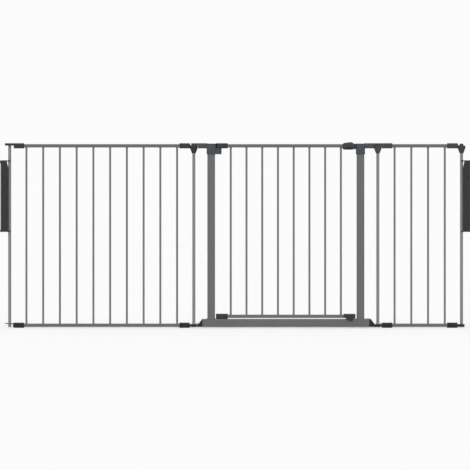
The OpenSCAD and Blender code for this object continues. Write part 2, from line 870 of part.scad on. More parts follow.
// Coil spring between the chamber's wall and the carriage
module latch_spring() {
    rings = spring_turns * spring_steps;
    x0 = chamber_x0 + spring_wire_r;
    length = carriage_x0 - chamber_x0 - 2 * spring_wire_r;
    points = [
        for (i = [0:rings], k = [0:spring_sides - 1])
            let (turn = 360 * i / spring_steps, side = 360 * k / spring_sides,
                 r = spring_r + spring_wire_r * cos(side))
                [x0 + length * i / rings + spring_wire_r * sin(side), r * cos(turn), r * sin(turn)]
    ];
    faces = concat(
        [[for (k = [0:spring_sides - 1]) k]],
        [for (i = [0:rings - 1], k = [0:spring_sides - 1])
            let (a = i * spring_sides, next = (k + 1) % spring_sides)
                [a + k, a + spring_sides + k, a + spring_sides + next, a + next]],
        [[for (k = [spring_sides - 1:-1:0]) rings * spring_sides + k]]
    );
    color(BARE) translate([right_post_x, 0, rail_z + bolt_z]) polyhedron(points, faces);
}

// End tube's domed cap
module end_tube_cap() {
    cap_r = 8;
    dome_h = 3.5;
    color(FITTING) translate([tube_x[3], 0, rail_z + collar_z]) difference() {
        union() {
            cylinder(r = cap_r, h = seat_z - collar_z - 1);
            translate([0, 0, seat_z - collar_z - 1])
                cylinder(r1 = cap_r, r2 = cap_r - 3, h = dome_h);
        }
        translate([0, 0, -CUT]) cylinder(d = tube_d, h = seat_z - collar_z - 2 + CUT);
    }
}

// Wall mounts, built with the wall towards +X and the end tube's axis at the origin

// Plan of a cassette between the tube and x1, round beside the tube
module cassette_plan(x1, inset) {
    r = 4 - inset;
    half = cassette_d / 2 - inset;
    x0 = cassette_face + inset;
    translate([x0 + r, -half]) square([x1 - x0 - r, 2 * half]);
    translate([x0, r - half]) square([x1 - x0, 2 * (half - r)]);
    for (y = [-1, 1]) translate([x0 + r, y * (half - r)]) circle(r);
}

// Open clip round the end tube, from z up
module tube_clip(z) {
    clip_r = tube_d / 2 + run_gap + clip_wall;
    translate([0, 0, z]) linear_extrude(clip_t) difference() {
        union() {
            circle(clip_r);
            translate([0, -clip_r]) square([cassette_face + 9, 2 * clip_r]);
        }
        circle(tube_d / 2 + run_gap);
        translate([-clip_open - 2 * clip_r, -clip_r - CUT])
            square([2 * clip_r, 2 * clip_r + 2 * CUT]);
    }
}

module cassette() {
    slope_x = 6;
    slope_z = 28;
    inner_z1 = cassette_top - cap_top;
    color(FITTING) difference() {
        union() {
            intersection() {
                translate([0, 0, cassette_z]) linear_extrude(cassette_h)
                    cassette_plan(wall_reach, 0);
                side_plate([
                    [cassette_face, cassette_z], [wall_reach, cassette_z],
                    [wall_reach, cassette_top], [cassette_face + slope_x, cassette_top],
                    [cassette_face, cassette_top - slope_z]
                ], cassette_d);
            }
            tube_clip(cassette_z);
            tube_clip(cassette_top - clip_t);
        }
        translate([plate_front, -cassette_d / 2 - CUT, plate_z0])
            cube([plate_t + CUT, cassette_d + 2 * CUT, plate_z1 - plate_z0]);
        translate([0, 0, plate_z0]) intersection() {
            linear_extrude(plate_z1 - plate_z0) cassette_plan(plate_front + CUT, cassette_wall);
            side_plate([
                [0, 0], [plate_front + CUT, 0], [plate_front + CUT, plate_z1 - plate_z0],
                [cassette_face + slope_x, plate_z1 - plate_z0],
                [cassette_face + cassette_wall, plate_z1 - plate_z0 - slope_z], [0, 0]
            ], cassette_d);
        }
        translate([lock_x, -cassette_d / 2 - CUT, lock_z]) rotate([-90, 0, 0]) {
            cylinder(r = lock_r, h = cassette_wall + 2 * CUT);
            cylinder(r = lock_head_r + slide_gap, h = lock_recess + CUT);
        }
    }
}

module wall_plate() {
    boss_x = lock_x - boss_h / 2 + 2;
    boss_y = -cassette_d / 2 + cassette_wall;
    color(PLATE) difference() {
        union() {
            translate([plate_front, -plate_d / 2, plate_z0])
                cube([plate_t, plate_d, plate_z1 - plate_z0]);
            translate([boss_x, boss_y, lock_z - boss_h / 2])
                cube([plate_front - boss_x + CUT, boss_d, boss_h]);
        }
        for (z = [-1, 1])
            translate([plate_front - CUT, 0, (plate_z0 + plate_z1) / 2 + z * wall_hole_gap / 2])
                rotate([0, 90, 0]) cylinder(d = wall_hole_d, h = plate_t + 2 * CUT);
        translate([lock_x, boss_y - CUT, lock_z]) rotate([-90, 0, 0])
            cylinder(r = lock_r, h = boss_d + 2 * CUT);
    }
}

module lock_screw() {
    shank = cassette_wall - lock_recess + boss_d - 2;
    color(BARE) translate([lock_x, lock_recess - cassette_d / 2, lock_z]) rotate([-90, 0, 0]) {
        cylinder(r = lock_r, h = shank);
        translate([0, 0, 0.4 - lock_recess]) difference() {
            cylinder(r = lock_head_r, h = lock_recess - 0.4);
            translate([-lock_head_r, -0.6, -CUT]) cube([2 * lock_head_r, 1.2, CUT + 0.8]);
        }
    }
}

// Places a wall mount's piece at the left or the right end
module at_left_wall() {
    translate([tube_x[0], 0, 0]) mirror([1, 0, 0]) children();
}

module at_right_wall() {
    translate([tube_x[3], 0, 0]) children();
}

sill();
post(left_post_x);  // left_post
post(right_post_x);  // right_post
sill_cap_left();
sill_cap_right();
left_post_bracket();
right_post_bracket();
pivot_tube(tube_x[1], rail_z + seat_z);  // gate_tube
gate_lug();
upper_hinge_pin();
lower_hinge_pin();
bracket_screws();
hinge_bush(rail_z + web_z);  // upper_hinge_bush
hinge_bush(sill_top);  // lower_hinge_bush
door_top_rail();
door_bottom_rail();
uprights(door_x0, door_pitch, door_bars, door_foot_z);  // door_uprights
hinge_sleeve(rail_z);  // door_upper_sleeve
hinge_sleeve(door_foot_z);  // door_lower_sleeve
door_catch();
handle_housing();
handle_cover();
handle_screws();
door_screws();
latch_spring();
thumb_slide();
latch_bolt();
panel_rail(tube_x[0], tube_x[1], rail_z);  // left_panel_top_rail
panel_rail(tube_x[0], tube_x[1], foot_z);  // left_panel_bottom_rail
uprights(tube_x[0] + bar_pitch, bar_pitch, left_bars, foot_z);  // left_panel_uprights
pivot_tube(tube_x[0], rail_z + seat_z);  // left_panel_tube
translate([tube_x[0], 0, rail_z]) eye_fitting(nose_reach);  // left_panel_eye
translate([tube_x[0], 0, 0]) foot_fitting();  // left_panel_foot
color(FITTING) translate([tube_x[0], 0, 0]) lug(nose_reach, sleeve_in + sleeve_stop);  // left_panel_lug
translate([tube_x[1], 0, rail_z]) collar_fitting();  // left_panel_collar
translate([tube_x[1], 0, 0]) shoe_fitting();  // left_panel_shoe
panel_screws(tube_x[0], tube_x[1]);  // left_panel_screws
panel_rail(tube_x[2], tube_x[3], rail_z);  // right_panel_top_rail
panel_rail(tube_x[2], tube_x[3], foot_z);  // right_panel_bottom_rail
uprights(tube_x[2] + bar_pitch, bar_pitch, right_bars, foot_z);  // right_panel_uprights
pivot_tube(tube_x[2], rail_z + seat_z);  // right_panel_tube
translate([tube_x[2], 0, rail_z]) eye_fitting(eye_r);  // right_panel_eye
translate([tube_x[2], 0, 0]) foot_fitting();  // right_panel_foot
color(STEEL) translate([tube_x[2], 0, 0]) lug(0, sleeve_in + sleeve_stop);  // right_panel_lug
translate([tube_x[3], 0, rail_z]) collar_fitting();  // right_panel_collar
translate([tube_x[3], 0, 0]) shoe_fitting();  // right_panel_shoe
panel_screws(tube_x[2], tube_x[3]);  // right_panel_screws
pivot_tube(tube_x[3], rail_z + seat_z - 2);  // end_tube
end_tube_cap();
at_left_wall() wall_plate();  // left_wall_plate
at_left_wall() cassette();  // left_cassette
at_left_wall() lock_screw();  // left_lock_screw
at_right_wall() wall_plate();  // right_wall_plate
at_right_wall() cassette();  // right_cassette
at_right_wall() lock_screw();  // right_lock_screw
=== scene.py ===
"""Looks of a three-section safety gate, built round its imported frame."""

import json
import math

import bmesh
import bpy
from bpy.props import FloatProperty, FloatVectorProperty, IntProperty, PointerProperty
from mathutils import Matrix, Vector, noise

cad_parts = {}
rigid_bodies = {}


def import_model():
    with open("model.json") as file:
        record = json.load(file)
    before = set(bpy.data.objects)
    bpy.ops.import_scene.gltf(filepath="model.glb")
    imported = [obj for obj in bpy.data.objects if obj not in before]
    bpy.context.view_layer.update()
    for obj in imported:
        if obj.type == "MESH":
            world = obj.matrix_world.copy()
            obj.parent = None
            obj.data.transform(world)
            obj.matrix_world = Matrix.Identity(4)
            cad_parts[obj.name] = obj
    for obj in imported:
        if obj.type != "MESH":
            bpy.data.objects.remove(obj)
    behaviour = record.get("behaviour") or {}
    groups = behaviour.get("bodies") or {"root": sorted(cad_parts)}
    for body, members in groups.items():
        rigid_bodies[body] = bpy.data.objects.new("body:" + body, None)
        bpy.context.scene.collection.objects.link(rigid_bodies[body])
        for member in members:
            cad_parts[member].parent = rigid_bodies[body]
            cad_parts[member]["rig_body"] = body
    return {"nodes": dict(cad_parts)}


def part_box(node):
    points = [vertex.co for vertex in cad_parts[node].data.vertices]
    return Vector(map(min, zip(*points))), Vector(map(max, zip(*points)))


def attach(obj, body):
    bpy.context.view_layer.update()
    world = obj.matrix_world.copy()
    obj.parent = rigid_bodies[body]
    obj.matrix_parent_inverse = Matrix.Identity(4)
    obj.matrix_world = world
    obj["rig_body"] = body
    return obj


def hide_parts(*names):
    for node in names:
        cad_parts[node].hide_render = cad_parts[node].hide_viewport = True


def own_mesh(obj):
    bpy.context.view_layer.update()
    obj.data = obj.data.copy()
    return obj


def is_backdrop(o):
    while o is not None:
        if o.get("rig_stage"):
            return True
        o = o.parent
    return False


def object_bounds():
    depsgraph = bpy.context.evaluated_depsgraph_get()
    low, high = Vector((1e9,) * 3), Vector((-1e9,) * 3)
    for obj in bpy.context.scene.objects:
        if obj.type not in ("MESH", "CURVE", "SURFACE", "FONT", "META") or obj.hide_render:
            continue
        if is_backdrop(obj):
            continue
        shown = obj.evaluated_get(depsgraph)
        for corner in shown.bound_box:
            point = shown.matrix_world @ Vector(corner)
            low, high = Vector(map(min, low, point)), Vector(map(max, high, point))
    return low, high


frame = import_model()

bl_info = {
    "name": "Safety gate looks",
    "version": (1, 0, 0),
    "blender": (4, 5, 0),
    "location": "3D View > Sidebar > Safety gate",
    "description": "Builds the visible parts and finishes of a safety gate on its fixed frame",
    "category": "Object",
}

MM = 0.001
RUB = "rub"  # face-corner attribute: 1 on rounded edges, where paint and plastic rub bright
MERGE = 2e-6  # points of the frame's shapes closer than this are one point
FLAT = 0.012  # faces that meet at a smaller angle than this are one flat face
MIX_A, MIX_B, MIX_COLOUR = 6, 7, 2  # a Mix node's colour sockets: first, second and result
SLEEVE_WALL = (6 * MM, 7 * MM)  # a sleeve's depth and height over its rail's
SLEEVE_RADIUS = 4 * MM
SILL_RADIUS = 5 * MM
THREAD_PITCH = 0.9 * MM


# ---------------------------------------------------------------- settings


class GateSizes(bpy.types.PropertyGroup):
    upright_d: FloatProperty(
        name="Upright diameter", description="Diameter of an upright",
        default=8 * MM, min=4 * MM, max=12 * MM, unit="LENGTH")
    weld_h: FloatProperty(
        name="Weld height", description="Height of the bead at each end of an upright",
        default=3 * MM, min=1 * MM, max=5 * MM, unit="LENGTH")
    weld_leg: FloatProperty(
        name="Post weld leg", description="Leg of the bead between a post and the sill",
        default=3.2 * MM, min=1 * MM, max=5 * MM, unit="LENGTH")
    left_uprights: IntProperty(
        name="Left uprights", description="Uprights in the left panel", default=10, min=2)
    door_uprights: IntProperty(
        name="Door uprights", description="Uprights in the door", default=8, min=2)
    right_uprights: IntProperty(
        name="Right uprights", description="Uprights in the right panel", default=4, min=2)
    moulded_edge: FloatProperty(
        name="Moulded edge", description="Rounding along the edges of the plastic fittings",
        default=0.7 * MM, min=0.2 * MM, max=1.5 * MM, unit="LENGTH")
    sheet_edge: FloatProperty(
        name="Sheet edge", description="Rounding along the edges of sheet steel",
        default=0.35 * MM, min=0.1 * MM, max=1 * MM, unit="LENGTH")
    rim_w: FloatProperty(
        name="Rim width", description="Width of the rim at a sleeve's open end",
        default=2.4 * MM, min=1 * MM, max=5 * MM, unit="LENGTH")
    rim_h: FloatProperty(
        name="Rim height", description="How far a rim or rib stands proud",
        default=0.4 * MM, min=0.1 * MM, max=1 * MM, unit="LENGTH")
    spring_wire: FloatProperty(
        name="Spring wire", description="Diameter of the latch spring's wire",
        default=0.9 * MM, min=0.4 * MM, max=1.5 * MM, unit="LENGTH")
    spring_turns: FloatProperty(
        name="Spring turns", description="Turns of the latch spring", default=4.5, min=2)


class GateColours(bpy.types.PropertyGroup):
    steel: FloatVectorProperty(
        name="Painted steel", description="Powder coat of rails, posts and sill",
        subtype="COLOR", size=3, min=0, max=1, default=(0.097, 0.097, 0.100))
    # The same powder coat as the steel, lighter: its colour paints the reflection of the white
    # surround on the round uprights.
    uprights: FloatVectorProperty(
        name="Uprights", description="Powder coat of the thin uprights",
        subtype="COLOR", size=3, min=0, max=1, default=(0.131, 0.131, 0.134))
    # The same powder coat again, lighter still: its colour paints the reflection of the white
    # surround on the round tubes.
    tubes: FloatVectorProperty(
        name="Tubes", description="Powder coat of the round pivot and end tubes",
        subtype="COLOR", size=3, min=0, max=1, default=(0.172, 0.172, 0.175))
    lug: FloatVectorProperty(
        name="Lugs", description="Thinner coat on the small pressed lugs",
        subtype="COLOR", size=3, min=0, max=1, default=(0.30, 0.30, 0.31))
    fitting: FloatVectorProperty(
        name="Fittings", description="Plastic of sleeves, eyes and collars",
        subtype="COLOR", size=3, min=0, max=1, default=(0.019, 0.0195, 0.021))
    # The fittings' plastic, darker: its colour paints shade on the feet, shoes and sill caps near
    # the floor.
    foot: FloatVectorProperty(
        name="Low fittings", description="Plastic of the feet, shoes and sill caps",
        subtype="COLOR", size=3, min=0, max=1, default=(0.0095, 0.0098, 0.0105))
    # The fittings' plastic, lighter: its colour is a painted highlight on the narrow panel's top
    # fittings.
    highlit: FloatVectorProperty(
        name="Painted-highlight fittings", description="Sun-faded plastic on top of the narrow panel",
        subtype="COLOR", size=3, min=0, max=1, default=(0.034, 0.034, 0.035))
    # Near-black: painted shadow in the strips along the handle's lower edge and in the pad at the
    # upper hinge sleeve.
    shadow_black: FloatVectorProperty(
        name="Painted shadow", description="Grip strips of the handle and the hinge's buffer",
        subtype="COLOR", size=3, min=0, max=1, default=(0.004, 0.004, 0.0045))
    bracket: FloatVectorProperty(
        name="Post brackets", description="Plastic of the caps and arms on the posts",
        subtype="COLOR", size=3, min=0, max=1, default=(0.040, 0.047, 0.055))
    handle: FloatVectorProperty(
        name="Handle", description="Plastic of the handle and its slide",
        subtype="COLOR", size=3, min=0, max=1, default=(0.030, 0.031, 0.032))
    cassette: FloatVectorProperty(
        name="Cassettes", description="Plastic of the wall cassettes",
        subtype="COLOR", size=3, min=0, max=1, default=(0.0150, 0.0158, 0.0182))
    zinc: FloatVectorProperty(
        name="Zinc plate", description="Plated sheet of the wall plates",
        subtype="COLOR", size=3, min=0, max=1, default=(0.46, 0.48, 0.52))
    bare: FloatVectorProperty(
        name="Bare steel", description="Screws, pins, bolt and spring",
        subtype="COLOR", size=3, min=0, max=1, default=(0.52, 0.52, 0.53))
    # Near-black: the lock screws' heads are darkened to paint the shade of the recess they sit in.
    recess_shade: FloatVectorProperty(
        name="Shade-darkened steel", description="Blackened heads of the lock screws",
        subtype="COLOR", size=3, min=0, max=1, default=(0.030, 0.030, 0.032))
    dust: FloatVectorProperty(
        name="Dust", description="Dust that settles on low upward faces",
        subtype="COLOR", size=3, min=0, max=1, default=(0.20, 0.195, 0.185))


class GateStudio(bpy.types.PropertyGroup):
    distance: FloatProperty(
        name="Camera distance", description="From the camera to the gate's front",
        default=12, min=4, unit="LENGTH")
    width: FloatProperty(
        name="View width", description="Width seen at the gate's front",
        default=1.8365, min=0.5, unit="LENGTH")
    aside: FloatProperty(
        name="View offset", description="From the gate's middle to the view's middle, along X",
        default=-2.4 * MM, unit="LENGTH")
    height: FloatProperty(
        name="View height", description="Height of the view's middle above the floor",
        default=0.363, min=0, unit="LENGTH")
    floor: FloatVectorProperty(
        name="Floor", description="Colour of the floor",
        subtype="COLOR", size=3, min=0, max=1, default=(0.80, 0.80, 0.80))
    sky: FloatProperty(
        name="Surround", description="Strength of the surrounding light", default=0.6, min=0)
    backdrop: FloatProperty(
        name="Backdrop", description="Brightness behind the gate", default=0.97, min=0)
    key: FloatProperty(
        name="Key light", description="Strength of the front light", default=1.9, min=0)
    fill: FloatProperty(
        name="Fill light", description="Strength of the side light", default=0.5, min=0)
    back: FloatProperty(
        name="Back light", description="Strength of the rear light", default=0.4, min=0)


# ---------------------------------------------------------------- mesh helpers


def section(width, height, radius, steps=5):
    """Rounded rectangle as a closed loop of (across, up), centred."""
    loop = []
    for a, b, start in ((1, 1, 0), (-1, 1, 90), (-1, -1, 180), (1, -1, 270)):
        for i in range(steps + 1):
            t = math.radians(start + 90 * i / steps)
            loop.append((a * (width / 2 - radius) + radius * math.cos(t),
                         b * (height / 2 - radius) + radius * math.sin(t)))
    return loop


def skin(bm, loops):
    """Faces between successive closed loops of points, and over the two ends."""
    rows = [[bm.verts.new(p) for p in loop] for loop in loops]
    count = len(rows[0])
    for a, b in zip(rows, rows[1:]):
        for i in range(count):
            j = (i + 1) % count
            bm.faces.new((a[i], a[j], b[j], b[i]))
    bm.faces.new(rows[0][::-1])
    bm.faces.new(rows[-1])


def turned(bm, profile, place, steps, ripple=None):
    """A turned shape: profile is (radius, height) upwards, and place puts it where it goes."""
    loops = []
    for r, h in profile:
        loop = []
        for i in range(steps):
            t = 2 * math.pi * i / steps
            k = r + (ripple(t, h) if ripple else 0)
            loop.append(place @ Vector((k * math.cos(t), k * math.sin(t), h)))
        loops.append(loop)
    skin(bm, loops)


def along(direction, at):
    """Placement that turns +Z to a direction, at a point."""
    turn = Vector(direction).to_track_quat("Z", "Y").to_matrix().to_4x4()
    return Matrix.Translation(at) @ turn


def bead(bm, start, end, radius, sides=8):
    """A ridge with round ends from one point to another."""
    start, end = Vector(start), Vector(end)
    place = along(end - start, start)
    length = (end - start).length
    arc = [math.radians(a) for a in (8, 35, 62, 90)]
    profile = [(radius * math.sin(a), radius * (1 - math.cos(a))) for a in arc]
    profile += [(r, length - h) for r, h in reversed(profile)]
    turned(bm, profile, place, sides)


def band(bm, x, width, middle, size, radius, proud):
    """A raised band round a sleeve's rounded section, across X."""
    loops = []
    for step, rise in ((0, 0), (0.15, 0.8), (0.35, 1), (0.65, 1), (0.85, 0.8), (1, 0)):
        grow = 2 * proud * rise - 0.1 * MM
        loops.append([
            Vector((x + width * step, a, middle + b))
            for a, b in section(size[0] + grow, size[1] + grow, radius + grow / 2)])
    skin(bm, loops)


def block(bm, lo, hi, radius):
    """A bar along X with rounded long edges, between two opposite corners."""
    y, z = (lo[1] + hi[1]) / 2, (lo[2] + hi[2]) / 2
    skin(bm, [
        [Vector((x, y + a, z + b)) for a, b in section(hi[1] - lo[1], hi[2] - lo[2], radius)]
        for x in (lo[0], hi[0])])


def bare_copy(node):
    """The frame's own shape of a node, its flat faces whole again."""
    bm = bmesh.new()
    mesh = frame["nodes"][node].data
    points = [bm.verts.new(v.co) for v in mesh.vertices]
    for face in mesh.polygons:
        bm.faces.new([points[i] for i in face.vertices])
    bmesh.ops.remove_doubles(bm, verts=bm.verts, dist=MERGE)
    bmesh.ops.dissolve_limit(bm, angle_limit=FLAT, verts=bm.verts, edges=bm.edges)
    return bm


def rounded(bm, edge, way="ABSOLUTE", steps=2, sharp=32):
    """Rounds the sharp edges inside the shape's own box, and marks the rounding for wear."""
    reach = [(min(v.co[a] for v in bm.verts), max(v.co[a] for v in bm.verts)) for a in range(3)]
    limit = math.radians(sharp)
    edges = [e for e in bm.edges if e.is_manifold and e.calc_face_angle(0) > limit]
    made = bmesh.ops.bevel(
        bm, geom=edges, offset=edge, offset_type=way, segments=steps,
        profile=0.5, affect="EDGES", clamp_overlap=False)
    for v in bm.verts:
        v.co = [min(max(v.co[a], reach[a][0]), reach[a][1]) for a in range(3)]
    layer = bm.loops.layers.float.get(RUB) or bm.loops.layers.float.new(RUB)
    for face in made["faces"]:
        for loop in face.loops:
            loop[layer] = 1
    return bm


def piece(bm, name, finish, body, nodes=(), sharp=46):
    """Turns a bmesh into a piece that rides on a body and stands for its nodes."""
    bmesh.ops.recalc_face_normals(bm, faces=bm.faces)
    for e in bm.edges:
        e.smooth = e.is_manifold and e.calc_face_angle(0) < math.radians(sharp)
    for f in bm.faces:
        f.smooth = True
    mesh = bpy.data.meshes.new(name)
    bm.to_mesh(mesh)
    bm.free()
    mesh.materials.append(finish)
    made = bpy.data.objects.new(name, mesh)
    bpy.context.scene.collection.objects.link(made)
    shading = made.modifiers.new("Shading", "WEIGHTED_NORMAL")
    shading.keep_sharp = True
    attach(made, body)
    if nodes:
        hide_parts(*nodes)
    return made


def body_of(node):
    """Name of the body that a node belongs to."""
    return frame["nodes"][node]["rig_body"]


def coat(node, finish):
    """Gives a carried-over node its finish."""
    mesh = frame["nodes"][node].data
    mesh.materials.clear()
    mesh.materials.append(finish)


# ---------------------------------------------------------------- shared effects


def add(tree, kind, inputs=None, **settings):
    """Adds a node with its settings and the values of its open inputs."""
    made = tree.nodes.new(kind)
    for key, value in settings.items():
        setattr(made, key, value)
    for key, value in (inputs or {}).items():
        made.inputs[key].default_value = value
    return made


def effect(name, inputs, outputs):
    """An empty shader group with named sockets, and its input and output nodes."""
    group = bpy.data.node_groups.new(name, "ShaderNodeTree")
    for label, kind, value in inputs:
        made = group.interface.new_socket(name=label, in_out="INPUT", socket_type=kind)
        if value is not None:
            made.default_value = value
    for label, kind in outputs:
        group.interface.new_socket(name=label, in_out="OUTPUT", socket_type=kind)
    return group, group.nodes.new("NodeGroupInput"), group.nodes.new("NodeGroupOutput")


def tone_drift():
    """Slow change of tone over a surface, as from one batch of coat or resin."""
    g, start, end = effect(
        "Tone drift",
        [("Vector", "NodeSocketVector", None), ("Colour", "NodeSocketColor", None),
         ("Size", "NodeSocketFloat", 0.05), ("Amount", "NodeSocketFloat", 0.1)],
        [("Colour", "NodeSocketColor")])
    scale = add(g, "ShaderNodeMath", {0: 1.0}, operation="DIVIDE")
    cloud = add(g, "ShaderNodeTexNoise", {"Detail": 3.0, "Roughness": 0.6})
    centred = add(g, "ShaderNodeMath", {1: 0.5}, operation="SUBTRACT")
    share = add(g, "ShaderNodeMath", operation="MULTIPLY")
    gain = add(g, "ShaderNodeMath", {1: 1.0}, operation="ADD")
    out = add(g, "ShaderNodeVectorMath", operation="SCALE")
    link = g.links.new
    link(start.outputs["Size"], scale.inputs[1])
    link(start.outputs["Vector"], cloud.inputs["Vector"])
    link(scale.outputs[0], cloud.inputs["Scale"])
    link(cloud.outputs["Fac"], centred.inputs[0])
    link(centred.outputs[0], share.inputs[0])
    link(start.outputs["Amount"], share.inputs[1])
    link(share.outputs[0], gain.inputs[0])
    link(start.outputs["Colour"], out.inputs[0])
    link(gain.outputs[0], out.inputs["Scale"])
    link(out.outputs[0], end.inputs["Colour"])
    return g


def fine_grain():
    """Height of orange peel in a coat, or of a mould's spark-worn texture."""
    g, start, end = effect(
        "Fine grain",
        [("Vector", "NodeSocketVector", None), ("Size", "NodeSocketFloat", 0.001),
         ("Pits", "NodeSocketFloat", 0.3)],
        [("Height", "NodeSocketFloat")])
    scale = add(g, "ShaderNodeMath", {0: 1.0}, operation="DIVIDE")
    peel = add(g, "ShaderNodeTexNoise", {"Detail": 2.0, "Roughness": 0.45})
    cells = add(g, "ShaderNodeTexVoronoi", feature="SMOOTH_F1")
    share = add(g, "ShaderNodeMath", operation="MULTIPLY")
    total = add(g, "ShaderNodeMath", operation="ADD")
    link = g.links.new
    link(start.outputs["Size"], scale.inputs[1])
    for texture in (peel, cells):
        link(start.outputs["Vector"], texture.inputs["Vector"])
        link(scale.outputs[0], texture.inputs["Scale"])
    link(cells.outputs["Distance"], share.inputs[0])
    link(start.outputs["Pits"], share.inputs[1])
    link(peel.outputs["Fac"], total.inputs[0])
    link(share.outputs[0], total.inputs[1])
    link(total.outputs[0], end.inputs["Height"])
    return g


def rubbed_edges():
    """Mask of rounded edges where hands and shoes have rubbed."""
    g, start, end = effect(
        "Rubbed edges",
        [("Vector", "NodeSocketVector", None), ("Amount", "NodeSocketFloat", 0.5)],
        [("Mask", "NodeSocketFloat")])
    marked = add(g, "ShaderNodeAttribute", attribute_name=RUB, attribute_type="GEOMETRY")
    patch = add(g, "ShaderNodeTexNoise", {"Scale": 90.0, "Detail": 5.0, "Roughness": 0.7})
    ramp = add(g, "ShaderNodeMapRange", {"From Min": 0.42, "From Max": 0.7})
    both = add(g, "ShaderNodeMath", operation="MULTIPLY")
    share = add(g, "ShaderNodeMath", operation="MULTIPLY")
    link = g.links.new
    link(start.outputs["Vector"], patch.inputs["Vector"])
    link(patch.outputs["Fac"], ramp.inputs["Value"])
    link(ramp.outputs["Result"], both.inputs[0])
    link(marked.outputs["Fac"], both.inputs[1])
    link(both.outputs[0], share.inputs[0])
    link(start.outputs["Amount"], share.inputs[1])
    link(share.outputs[0], end.inputs["Mask"])
    return g


def settled_dust():
    """Mask of upward faces near the floor, where dust settles in patches."""
    g, start, end = effect(
        "Settled dust",
        [("Vector", "NodeSocketVector", None), ("Reach", "NodeSocketFloat", 0.2),
         ("Amount", "NodeSocketFloat", 0.3)],
        [("Mask", "NodeSocketFloat")])
    facing = add(g, "ShaderNodeNewGeometry")
    up = add(g, "ShaderNodeSeparateXYZ")
    place = add(g, "ShaderNodeSeparateXYZ")
    flat = add(g, "ShaderNodeMapRange", {"From Min": 0.25, "From Max": 0.95})
    low = add(g, "ShaderNodeMapRange", {"From Min": 0.0, "To Min": 1.0, "To Max": 0.15})
    cloud = add(g, "ShaderNodeTexNoise", {"Scale": 60.0, "Detail": 4.0, "Roughness": 0.65})
    patch = add(g, "ShaderNodeMapRange", {"From Min": 0.35, "From Max": 0.75})
    a = add(g, "ShaderNodeMath", operation="MULTIPLY")
    b = add(g, "ShaderNodeMath", operation="MULTIPLY")
    c = add(g, "ShaderNodeMath", operation="MULTIPLY")
    link = g.links.new
    link(facing.outputs["Normal"], up.inputs[0])
    link(up.outputs["Z"], flat.inputs["Value"])
    link(start.outputs["Vector"], place.inputs[0])
    link(place.outputs["Z"], low.inputs["Value"])
    link(start.outputs["Reach"], low.inputs["From Max"])
    link(start.outputs["Vector"], cloud.inputs["Vector"])
    link(cloud.outputs["Fac"], patch.inputs["Value"])
    link(flat.outputs["Result"], a.inputs[0])
    link(low.outputs["Result"], a.inputs[1])
    link(a.outputs[0], b.inputs[0])
    link(patch.outputs["Result"], b.inputs[1])
    link(b.outputs[0], c.inputs[0])
    link(start.outputs["Amount"], c.inputs[1])
    link(c.outputs[0], end.inputs["Mask"])
    return g


def drawn_lines():
    """Mask of fine lines along one direction: drawing marks, or stray scratches."""
    g, start, end = effect(
        "Drawn lines",
        [("Vector", "NodeSocketVector", None), ("Stretch", "NodeSocketVector", (1, 1, 1)),
         ("Low", "NodeSocketFloat", 0.5), ("High", "NodeSocketFloat", 0.7)],
        [("Mask", "NodeSocketFloat")])
    squeeze = add(g, "ShaderNodeVectorMath", operation="MULTIPLY")
    lines = add(g, "ShaderNodeTexNoise", {"Scale": 1.0, "Detail": 3.0, "Roughness": 0.6})
    ramp = add(g, "ShaderNodeMapRange")
    link = g.links.new
    link(start.outputs["Vector"], squeeze.inputs[0])
    link(start.outputs["Stretch"], squeeze.inputs[1])
    link(squeeze.outputs[0], lines.inputs["Vector"])
    link(lines.outputs["Fac"], ramp.inputs["Value"])
    link(start.outputs["Low"], ramp.inputs["From Min"])
    link(start.outputs["High"], ramp.inputs["From Max"])
    link(ramp.outputs["Result"], end.inputs["Mask"])
    return g


EFFECTS = {
    "Tone drift": tone_drift, "Fine grain": fine_grain, "Rubbed edges": rubbed_edges,
    "Settled dust": settled_dust, "Drawn lines": drawn_lines,
}


# ---------------------------------------------------------------- finishes

